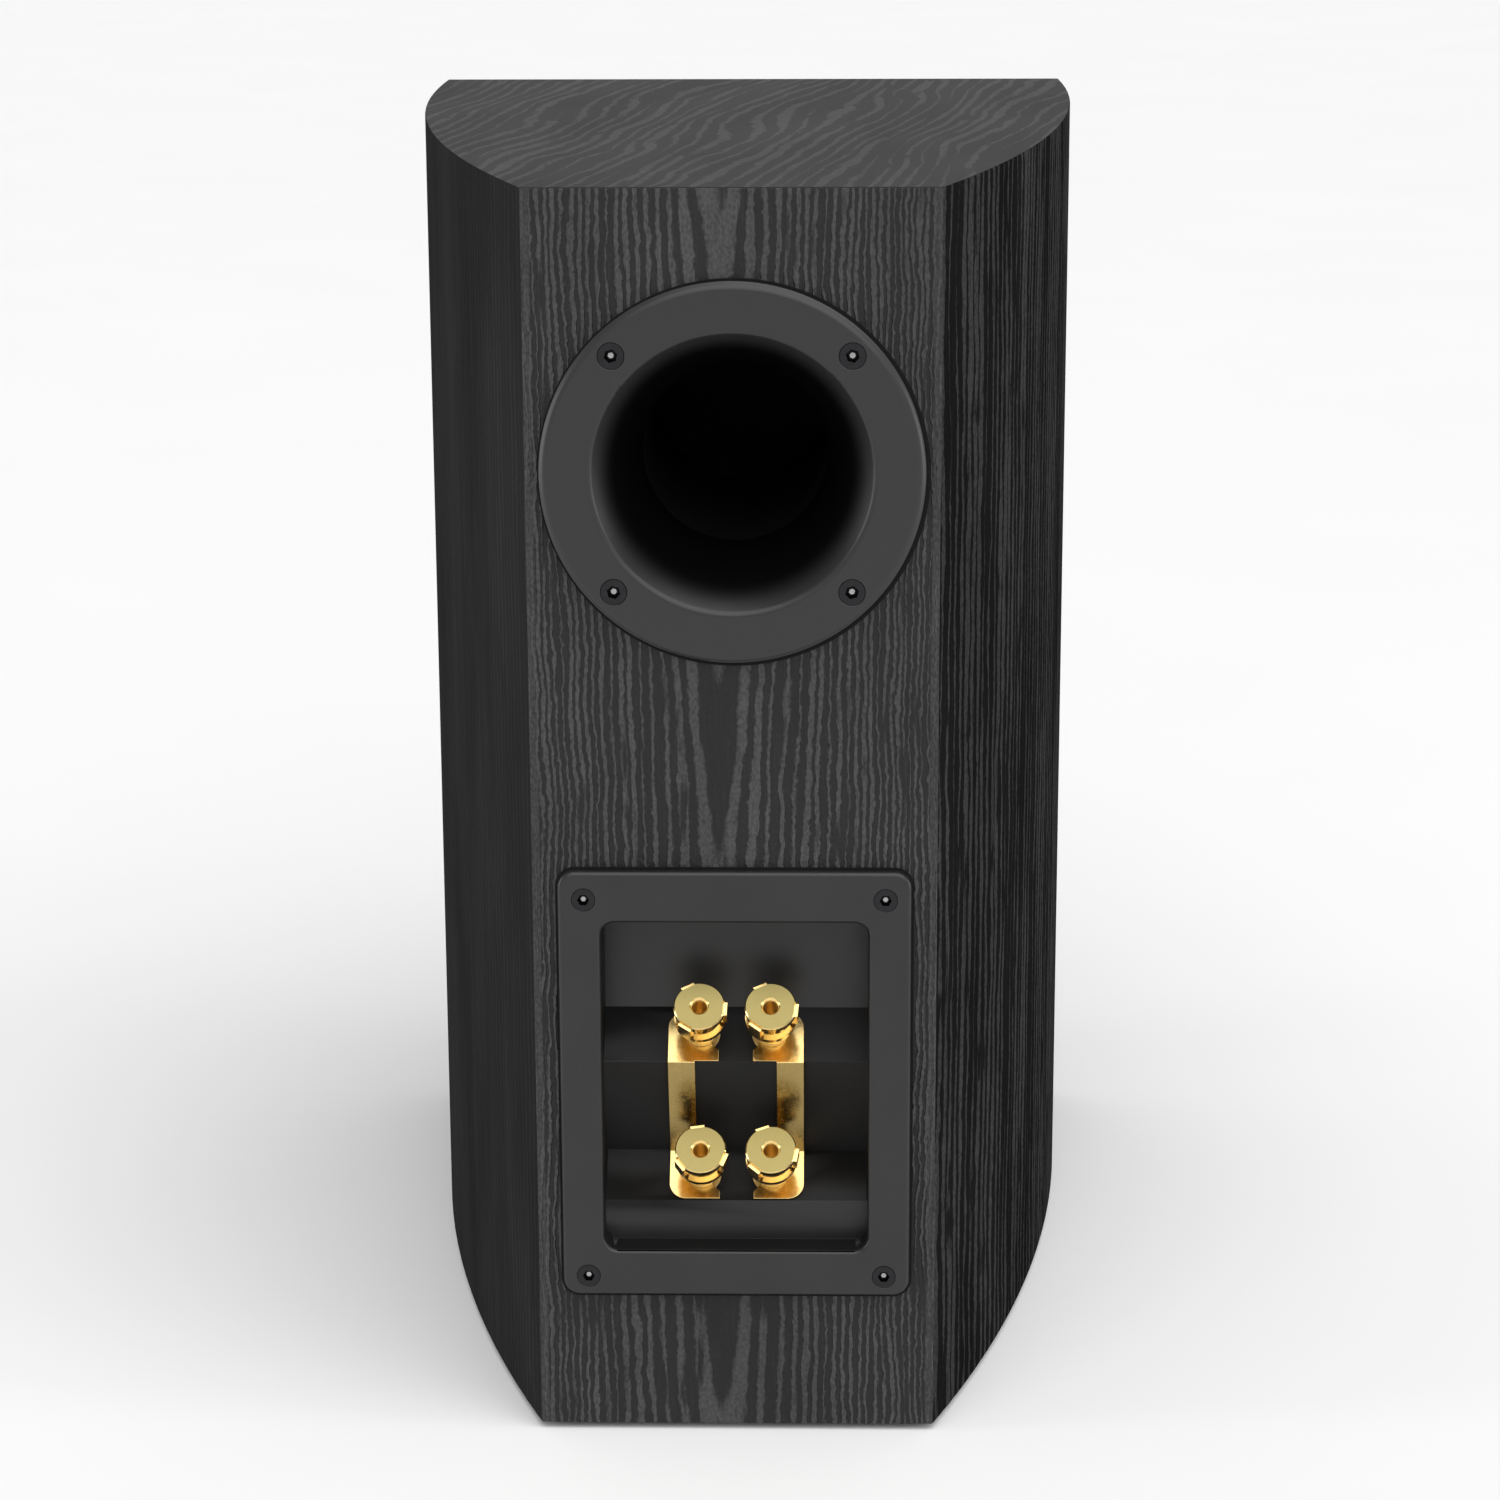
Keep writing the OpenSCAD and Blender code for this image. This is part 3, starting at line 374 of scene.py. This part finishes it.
for node, obj in NODES.items():
    obj.data.materials.clear()
    obj.data.materials.append(FINISH[SLOT_OF[node]])


# ---------------------------------------------------------------- refined pieces

def welded(node, merge=True):
    """The CAD node's shape as one closed mesh, with flat faces merged unless merge is off."""
    bm = bmesh.new()
    bm.from_mesh(NODES[node].data)
    bmesh.ops.remove_doubles(bm, verts=bm.verts, dist=WELD)
    if merge:
        bmesh.ops.dissolve_limit(bm, angle_limit=FLAT, verts=bm.verts, edges=bm.edges)
    bm.normal_update()
    return bm


def refine(node, rounds=(), paint=None, sharp=40):
    """A piece with rounded edges that stands for a CAD node. rounds = [(radius in mm, segments, test)],
    where test takes an edge's middle and direction. A fine rounding is clamped where edges crowd, a wide
    one is not. paint gives a face another material, and sharp is the angle where shading breaks."""
    bm = welded(node)
    for radius, segments, test in rounds:
        picked = []
        for edge in bm.edges:
            if len(edge.link_faces) != 2 or edge.calc_face_angle(0.0) < CREASE:
                continue
            a, b = edge.verts[0].co, edge.verts[1].co
            if test((a + b) / 2, (b - a).normalized()):
                picked.append(edge)
        if picked:
            bmesh.ops.bevel(bm, geom=picked, offset=radius * MM, offset_type="OFFSET", segments=segments,
                            profile=0.5, affect="EDGES", clamp_overlap=radius < 0.5)
    placed(as_mesh(bm, node + "_shape"), node, paint, sharp)


def placed(mesh, node, paint=None, sharp=40):
    """Puts the mesh in the scene in its node's place. The satin ends of the knobs stay flat."""
    obj = add_object(node + "_look", mesh)
    mesh.materials.append(FINISH[SLOT_OF[node]])
    for face in mesh.polygons:
        face.use_smooth = True
        extra = paint(face) if paint else None
        if extra:
            if extra.name not in mesh.materials:
                mesh.materials.append(extra)
            face.material_index = mesh.materials.find(extra.name)
            face.use_smooth = extra != SATIN_GOLD
    mesh.set_sharp_from_angle(angle=math.radians(sharp))
    smooth = obj.modifiers.new("even_shading", "WEIGHTED_NORMAL")
    smooth.keep_sharp = True
    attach(obj, BODY_OF[node])
    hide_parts(node)


def near(a, b, tolerance=0.06):
    return abs(a - b) < tolerance * MM


def everything(mid, way):
    return True


# Cabinet wrap: the grain runs up the back and sides, and slantwise over the top.
def wrap_paint(face):
    n, c = face.normal, face.center
    if n.z > 0.9:
        return ASH["top"]
    if n.y > 0.9:
        return ASH["back"]
    if n.y < -0.9:
        return ASH["front"]
    return ASH["left"] if c.x > 0 else ASH["right"]


def outer_corner(mid, way):
    if abs(way.z) < 0.99:
        return False
    at_back = near(mid.y, Y_BACK) and abs(mid.x) > BACK_HALF - 0.3 * MM
    return at_back or (near(mid.y, Y_FRONT) and abs(mid.x) > FRONT_HALF)


def top_edge(mid, way):
    return outer_corner(mid, way) or near(mid.z, Z_HIGH)


def bottom_edge(mid, way):
    """An edge whose middle is exactly at x = 0, as a whole front or back edge's is, stays sharp."""
    underside = near(mid.z, Z_LOW) and abs(way.z) < 0.1
    return outer_corner(mid, way) or (underside and mid.x != 0.0)


refine("top_panel", [(*ARRIS, top_edge)], wrap_paint, 30)
refine("bottom_panel", [(*ARRIS, bottom_edge)], wrap_paint, 30)
for side in ("left_side_panel", "right_side_panel"):
    refine(side, [(*ARRIS, outer_corner)], wrap_paint, 30)
refine("rear_panel", (), wrap_paint, 30)
refine("front_baffle", (), wrap_paint, 30)


# Port flange and terminal cup: soft moulded edges, and a fine groove round each screw, its pocket painted
# black as painted shade.
PORT = centre("port_flange")
PORT_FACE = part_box("port_flange")[1].y
PORT_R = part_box("port_flange")[1].x - PORT.x
RIM_R = 48.0 * MM                       # the flange's outer edges lie past this
POCKETS = 39.5 * MM, 47.6 * MM          # between these are the mouths of the screw pockets
POCKET_DEEP = 0.35 * MM                 # a face this far below its flange's is in a pocket
SHADOW_LOW = 0.8 * MM                   # a flange's edge is painted black as contact shadow up to this height


def port_radius(mid):
    return math.hypot(mid.x - PORT.x, mid.z - PORT.z)


# Painted shade: black on the flange's foot as a contact shadow, and in the screw pockets.
def flange_paint(face):
    radius, y = port_radius(face.center), face.center.y
    if y < Y_BACK + SHADOW_LOW and radius > RIM_R + 0.5 * MM:
        return CONTACT_SHADE
    pocket = 39.0 * MM < radius < RIM_R and y < PORT_FACE - POCKET_DEEP
    return CONTACT_SHADE if pocket and y > Y_BACK - 3 * MM else None


refine("port_flange", [
    (0.9, 4, lambda mid, way: near(mid.y, PORT_FACE) and port_radius(mid) > RIM_R),
    (0.9, 1, lambda mid, way: near(mid.y, Y_BACK) and port_radius(mid) > RIM_R),
    (0.3, 2, lambda mid, way: near(mid.y, PORT_FACE) and POCKETS[0] < port_radius(mid) < POCKETS[1]),
], flange_paint)

CUP = centre("terminal_cup")
CUP_LOW, CUP_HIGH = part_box("terminal_cup")
CUP_FACE = CUP_HIGH.y
CUP_HALF_W = CUP_HIGH.x
CUP_HALF_H = (CUP_HIGH.z - CUP_LOW.z) / 2
CUP_EDGE = 1.5 * MM                     # width of the band along the flange's outer edge
CUP_CORNER_R = 4.5 * MM


def cup_inset(mid):
    """Distance in from the flange's nearest straight edge."""
    return min(CUP_HALF_W - abs(mid.x), mid.z - CUP_LOW.z, CUP_HIGH.z - mid.z)


def cup_rim(mid, way):
    """Outer edge of the flange's face, leaving the screw pockets and the recess alone."""
    return near(mid.y, CUP_FACE) and cup_inset(mid) < CUP_EDGE


def cup_lip(mid, way):
    """Edge where the recess opens in the flange's face."""
    return near(mid.y, CUP_FACE) and abs(mid.x) < 36.2 * MM and abs(mid.z - CUP.z) < 48.5 * MM


def cup_pocket(mid, way):
    return near(mid.y, CUP_FACE) and not cup_rim(mid, way) and not cup_lip(mid, way)


def cup_step(mid, way):
    """Edges that cross the recess, between its sloping faces."""
    return abs(way.x) > 0.99 and mid.y < Y_BACK - 2 * MM


def cup_foot(mid, way):
    """Outer edge of the flange's underside, but not the gasket's relief inside it."""
    corner = Vector((abs(mid.x) - CUP_HALF_W + CUP_CORNER_R,
                     abs(mid.z - CUP.z) - CUP_HALF_H + CUP_CORNER_R))
    rounded = min(corner) > 0 and corner.length > CUP_CORNER_R - 0.3 * MM
    return near(mid.y, Y_BACK) and (rounded or cup_inset(mid) < 0.3 * MM)


def cup_paint(face):
    """Inside the recess the floors are satin and the walls and undersides matt, all painted darker as
    painted shade, the walls and undersides darkest; the flange's foot and the screw pockets are painted
    black as painted shade.
    """
    c = face.center
    if abs(c.x) < 36 * MM and abs(c.z - CUP.z) < 47.4 * MM:
        if face.normal.z > 0.5 and face.normal.y > 0.3 and c.y < Y_BACK:
            return RECESS_FLOOR_SHADE
        if abs(face.normal.y) < 0.25 and c.y < CUP_FACE - 1 * MM:
            return RECESS_WALL_SHADE
        return RECESS_WALL_SHADE if face.normal.z < -0.25 else None
    if cup_inset(c) < CUP_EDGE:
        return CONTACT_SHADE if c.y < Y_BACK + SHADOW_LOW else None
    return CONTACT_SHADE if c.y < CUP_FACE - POCKET_DEEP else None


refine("terminal_cup", [(1.3, 4, cup_rim), (1.2, 4, cup_lip), (0.9, 1, cup_foot), (0.3, 2, cup_pocket),
                        (0.35, 2, cup_step)], cup_paint)


# Gaskets: a black foam bead stands out a little beyond each flange, set a little lower than it, as a
# painted contact shadow.
def shadow_bead(node, inner, outer, height):
    """The node's own shape and a black bead between two outlines, lying on the rear panel as a painted
    contact shadow.
    """
    bm = welded(node, merge=False)
    count = len(inner)
    loops = []
    for outline, y in ((inner, Y_BACK), (inner, Y_BACK + height),
                       (outer, Y_BACK + height * 0.7), (outer, Y_BACK)):
        loops.append([bm.verts.new((x, y, z)) for x, z in outline])
    for first, second in zip(loops, loops[1:] + loops[:1]):
        for k in range(count):
            j = (k + 1) % count
            bm.faces.new((first[k], first[j], second[j], second[k]))
    bmesh.ops.recalc_face_normals(bm, faces=bm.faces)
    placed(as_mesh(bm, node + "_shape"), node)


def rounded_outline(mid, half_w, half_h, radius, steps=12):
    points = []
    for sx, sz, turn in ((1, 1, 0), (-1, 1, 90), (-1, -1, 180), (1, -1, 270)):
        for k in range(steps + 1):
            angle = math.radians(turn + 90 * k / steps)
            points.append((mid.x + sx * (half_w - radius) + radius * math.cos(angle),
                           mid.z + sz * (half_h - radius) + radius * math.sin(angle)))
    return points


def disc_outline(mid, radius, steps=160):
    return rounded_outline(mid, radius, radius, radius, steps // 4)


TUCK = 0.5 * MM                         # how far the bead starts inside the flange's edge
BEAD = 0.35 * MM                        # height of the bead
shadow_bead("port_gasket", disc_outline(PORT, PORT_R - TUCK),
         disc_outline(PORT + Vector((-0.35, 0, -0.4)) * MM, PORT_R + 0.9 * MM), BEAD)
shadow_bead("terminal_gasket", rounded_outline(CUP, CUP_HALF_W - TUCK, CUP_HALF_H - TUCK, 4 * MM),
         rounded_outline(CUP + Vector((0, 0, -0.5)) * MM, CUP_HALF_W + 0.7 * MM,
                         CUP_HALF_H + 0.9 * MM, 5.2 * MM), BEAD)


# Screws: rounded heads; the middle of each socket's floor is bright steel as a painted glint, and the
# rest of each socket is painted dark as painted shade.
SOCKET_DEPTHS = 0.6 * MM, 2.4 * MM
SOCKET_AREA = 14e-6                     # a socket's floor is smaller than this, in square metres


def screw_set(node, way):
    """All screws of one node, whose heads face along y in the direction of way, 1 or -1."""
    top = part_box(node)[1].y if way > 0 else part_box(node)[0].y
    bm = welded(node)

    def is_floor(face):
        deep = (top - face.calc_center_median().y) * way
        inside = SOCKET_DEPTHS[0] < deep < SOCKET_DEPTHS[1]
        return face.normal.y * way > 0.9 and inside and face.calc_area() < SOCKET_AREA

    floors = [face for face in bm.faces if is_floor(face)]
    for floor in floors:
        width = math.sqrt(floor.calc_area())
        bmesh.ops.inset_region(bm, faces=[floor], thickness=width * 0.34, depth=0.2 * MM)
    rims = [e for e in bm.edges if near(e.verts[0].co.y, top) and near(e.verts[1].co.y, top)
            and len(e.link_faces) == 2 and e.calc_face_angle(0.0) > 0.3]
    centres = [f.calc_center_median().copy() for f in floors]
    bmesh.ops.bevel(bm, geom=rims, offset=0.22 * MM, offset_type="OFFSET", segments=2, profile=0.5,
                    affect="EDGES", clamp_overlap=True)

    # Painted glint at the middle of each socket's floor; the rest of the socket deeper than 0.5 mm is
    # painted dark as painted shade.
    def paint(face):
        if any((face.center - c).length < 0.05 * MM for c in centres):
            return GLINT_STEEL
        return SOCKET_SHADE if (top - face.center.y) * way > 0.5 * MM else None

    placed(as_mesh(bm, node + "_shape"), node, paint, 30)


for node, way in (("port_screws", 1), ("terminal_screws", 1),
                  ("woofer_screws", -1), ("tweeter_screws", -1)):
    screw_set(node, way)


# Binding posts: satin face on each knob, polished everywhere else; the bores and the studs are painted a
# bright gold as painted light.
POST_WAY = Vector((0, math.sqrt(0.5), math.sqrt(0.5)))
BORE_R = 2.4 * MM                       # faces of the banana socket have their middles inside this
for where in ("upper_left", "upper_right", "lower_left", "lower_right"):
    knob = "post_knob_" + where
    reach = max(v.co.dot(POST_WAY) for v in NODES[knob].data.vertices)
    axis_at = centre("clamp_washer_" + where)

    def knob_paint(face, reach=reach, axis_at=axis_at):
        away = face.center - axis_at
        off_axis = (away - POST_WAY * away.dot(POST_WAY)).length
        facing = face.normal.dot(POST_WAY)
        if off_axis < BORE_R and facing < 0.9:
            return BORE_LIGHT_GOLD
        at_end = face.center.dot(POST_WAY) > reach - 0.15 * MM
        return SATIN_GOLD if facing > 0.97 and at_end else None

    refine(knob, [(0.14, 2, everything)], knob_paint, 50)
    refine("post_stud_" + where, [(0.15, 2, everything)], lambda face: BORE_LIGHT_GOLD, 40)
    refine("clamp_washer_" + where, [(0.12, 2, everything)], None, 40)
for side in ("left", "right"):
    # Faces of the jumpers that face downwards are painted a darker gold as painted shade.
    refine("jumper_" + side, [(0.16, 2, everything)],
           lambda face: STRIP_SHADE_GOLD if face.normal.z < -0.2 else None, 40)


# ---------------------------------------------------------------- drivers

WOOFER = centre("woofer_frame")
FRAME_RIM_R = 80.0 * MM                 # only the frame's outer edge lies past this


def frame_rim(mid, way):
    return near(mid.y, Y_FRONT) and math.hypot(mid.x, mid.z - WOOFER.z) > FRAME_RIM_R


refine("woofer_frame", [(*ARRIS, frame_rim)])
refine("tweeter_faceplate", [(*ARRIS, lambda mid, way: near(mid.y, Y_FRONT))])


def ring_wedges(node, profile, count=16, parts=8):
    """A flexible ring round the woofer's axis, built in closed wedges between the cone and the frame.
    profile = (radius, y) points;
    parts = slices in one wedge."""
    step = 2 * math.pi / count
    for w in range(count):
        bm = bmesh.new()
        sections = []
        for p in range(parts + 1):
            angle = step * (w + p / parts)
            sections.append([bm.verts.new((r * math.cos(angle), y, WOOFER.z + r * math.sin(angle)))
                             for r, y in profile])
        for first, second in zip(sections, sections[1:]):
            for k in range(len(profile)):
                j = (k + 1) % len(profile)
                bm.faces.new((first[k], first[j], second[j], second[k]))
        bm.faces.new(sections[0])
        bm.faces.new(reversed(sections[-1]))
        bmesh.ops.recalc_face_normals(bm, faces=bm.faces)
        mesh = as_mesh(bm, f"{node}_wedge_{w + 1}_shape")
        mesh.materials.append(FINISH[SLOT_OF[node]])
        smooth_faces(mesh)
        mesh.set_sharp_from_angle(angle=math.radians(45))
        obj = add_object(f"{node}_wedge_{w + 1}", mesh)
        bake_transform(obj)
        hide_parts(node)


def surround_profile(rows=40):
    """Half-round rubber roll with a flat lip on each side."""
    low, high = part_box("woofer_surround")
    base, crest, outer = high.y, low.y, (high.x - low.x) / 2
    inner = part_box("woofer_cone")[1].x - 4.0 * MM
    lip, roll_mid, roll_r = 1.0 * MM, 67.0 * MM, 5.2 * MM
    rise = base - lip - crest
    points = [(inner, base), (inner, base - lip), (roll_mid - roll_r - 0.6 * MM, base - lip)]
    for k in range(rows + 1):
        angle = math.pi - math.pi * k / rows
        points.append((roll_mid + roll_r * math.cos(angle), base - lip - rise * math.sin(angle)))
    points += [(outer - 0.3 * MM, base - lip), (outer, base - lip * 0.7), (outer, base)]
    for k in range(rows // 2 + 1):
        angle = math.pi * k / (rows // 2)
        points.append((roll_mid + (roll_r - 1.0 * MM) * math.cos(angle),
                       base - (rise - 0.2 * MM) * math.sin(angle)))
    return points


def spider_profile(rows=84):
    """Corrugated cloth disc: seven half-rolls between a flat collar and a flat rim."""
    low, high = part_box("woofer_spider")
    outer, inner = (high.x - low.x) / 2, 13.3 * MM
    crest, trough = low.y, high.y
    half, first, last = 0.4 * MM, 15.0 * MM, 43.0 * MM
    middle, swing = (crest + trough) / 2, (trough - crest) / 2 - half
    half_rolls = 7

    def level(r):
        """Height of the cloth's middle at this radius, and its slope."""
        turn = half_rolls * math.pi * (r - first) / (last - first)
        if not first < r < last:
            return middle, 0.0
        slope = swing * half_rolls * math.pi / (last - first) * math.cos(turn)
        return middle - swing * math.sin(turn), slope

    radii = [inner] + [first + (last - first) * k / rows for k in range(rows + 1)] + [outer]
    front, back = [], []
    for r in radii:
        y, slope = level(r)
        thick = half * math.sqrt(1 + slope * slope)
        front.append((r, y - thick))
        back.append((r, y + thick))
    return front + back[::-1]


ring_wedges("woofer_surround", surround_profile())
ring_wedges("woofer_spider", spider_profile())


# ---------------------------------------------------------------- wadding and plain nodes

VOXEL = 3.0 * MM
SOFTENINGS = 6
LUMPS = (45, 0.7), (130, 0.3)           # lumps per metre and share, wide and fine


def lofty(node, swell, pinch):
    """Loose polyester wadding: rounded edges and a lumpy surface, pulled in by pinch and pushed out by up
    to swell, both in mm."""
    bm = welded(node)
    for edge in bm.edges:
        edge.smooth = True
    bmesh.ops.triangulate(bm, faces=bm.faces)
    obj = add_object(node + "_look", as_mesh(bm, node + "_shape"))
    remesh = obj.modifiers.new("even_mesh", "REMESH")
    remesh.mode, remesh.voxel_size = "VOXEL", VOXEL
    even = bpy.data.meshes.new_from_object(obj.evaluated_get(bpy.context.evaluated_depsgraph_get()))
    obj.modifiers.clear()
    obj.data = even
    bm = bmesh.new()
    bm.from_mesh(even)
    for _ in range(SOFTENINGS):
        bmesh.ops.smooth_vert(bm, verts=bm.verts, factor=0.5,
                              use_axis_x=True, use_axis_y=True, use_axis_z=True)
    bm.normal_update()
    for vert in bm.verts:
        lump = sum(noise.noise(vert.co * scale) * share for scale, share in LUMPS)
        vert.co -= vert.normal * (pinch - swell * lump) * MM
    bm.to_mesh(even)
    bm.free()
    even.materials.clear()
    even.materials.append(FINISH[SLOT_OF[node]])
    smooth_faces(even)
    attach(obj, BODY_OF[node])
    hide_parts(node)


lofty("side_wadding", swell=1.2, pinch=1.3)

for node, obj in NODES.items():
    if not obj.hide_render:
        smooth_faces(obj.data)
        obj.data.set_sharp_from_angle(angle=math.radians(35))

# ---------------------------------------------------------------- stage, light and camera

floor_mat = Nodes("floor_paper")
speck = floor_mat.noise(floor_mat.object, 6.0, 3.0)
floor_mat.finish(floor_mat.mix(speck, (0.90, 0.90, 0.90), (0.93, 0.93, 0.93)), 0.9, specular=0.1)
floor_mesh = bpy.data.meshes.new("floor")
FLOOR_HALF = 8.0
corners = [(x * FLOOR_HALF, y * FLOOR_HALF, 0) for x, y in ((-1, -1), (1, -1), (1, 1), (-1, 1))]
floor_mesh.from_pydata(corners, [], [(0, 1, 2, 3)])
floor_mesh.materials.append(floor_mat.mat)
floor = add_object("floor", floor_mesh)

world = bpy.data.worlds.new("studio")
world.use_nodes = True
world.node_tree.nodes["Background"].inputs["Color"].default_value = (1, 1, 1, 1)
world.node_tree.nodes["Background"].inputs["Strength"].default_value = 0.5
bpy.context.scene.world = world


def hang_light(light, place, beam):
    """Puts a light at a place and turns it along beam."""
    obj = add_object(light.name, light)
    obj.location = place
    obj.rotation_mode = "QUATERNION"
    obj.rotation_quaternion = beam.to_track_quat("-Z", "Y")


def soft_sun(name, way, strength, spread):
    """A very large distant soft light, so that the whole floor is lit evenly."""
    light = bpy.data.lights.new(name, "SUN")
    light.energy = strength
    light.angle = math.radians(spread)
    hang_light(light, Vector(way) * 2, -Vector(way))


def strip_light(name, place, aim, width, height, power):
    light = bpy.data.lights.new(name, "AREA")
    light.shape = "RECTANGLE"
    light.size, light.size_y, light.energy = width, height, power
    hang_light(light, Vector(place), Vector(aim) - Vector(place))


soft_sun("overhead", (-0.22, 0.62, 0.80), 2.2, 75)
for name, x in (("left_strip", 1.5), ("right_strip", -1.5)):
    strip_light(name, (x, 0.35, 0.3), (0, 0.1, 0.15), 0.3, 0.9, 5)

bpy.context.scene.view_settings.view_transform = "Standard"

# The photograph's viewpoint: behind and above the cabinet, with a long lens and no shift.
PITCH, YAW, ROLL = 0.26629, -0.0222, 0.00396
STAND = -0.026818, 1.016115, 0.469439   # metres: across, behind the rear panel, above the underside
forward = Vector((-math.sin(YAW) * math.cos(PITCH), -math.cos(YAW) * math.cos(PITCH), -math.sin(PITCH)))
right = Vector((-math.cos(YAW), math.sin(YAW), 0))
down = forward.cross(right)
if down.z > 0:
    down = -down
turned = right * math.cos(ROLL) + down * math.sin(ROLL)
up = -(down * math.cos(ROLL) - right * math.sin(ROLL))
lens = bpy.data.cameras.new("camera")
lens.sensor_width = 36.0
lens.lens = 96.14
camera = add_object("camera", lens)
rotation = Matrix((turned, up, -forward)).transposed().to_4x4()
camera.matrix_world = Matrix.Translation((STAND[0], Y_BACK + STAND[1], Z_LOW + STAND[2])) @ rotation
bpy.context.scene.camera = camera
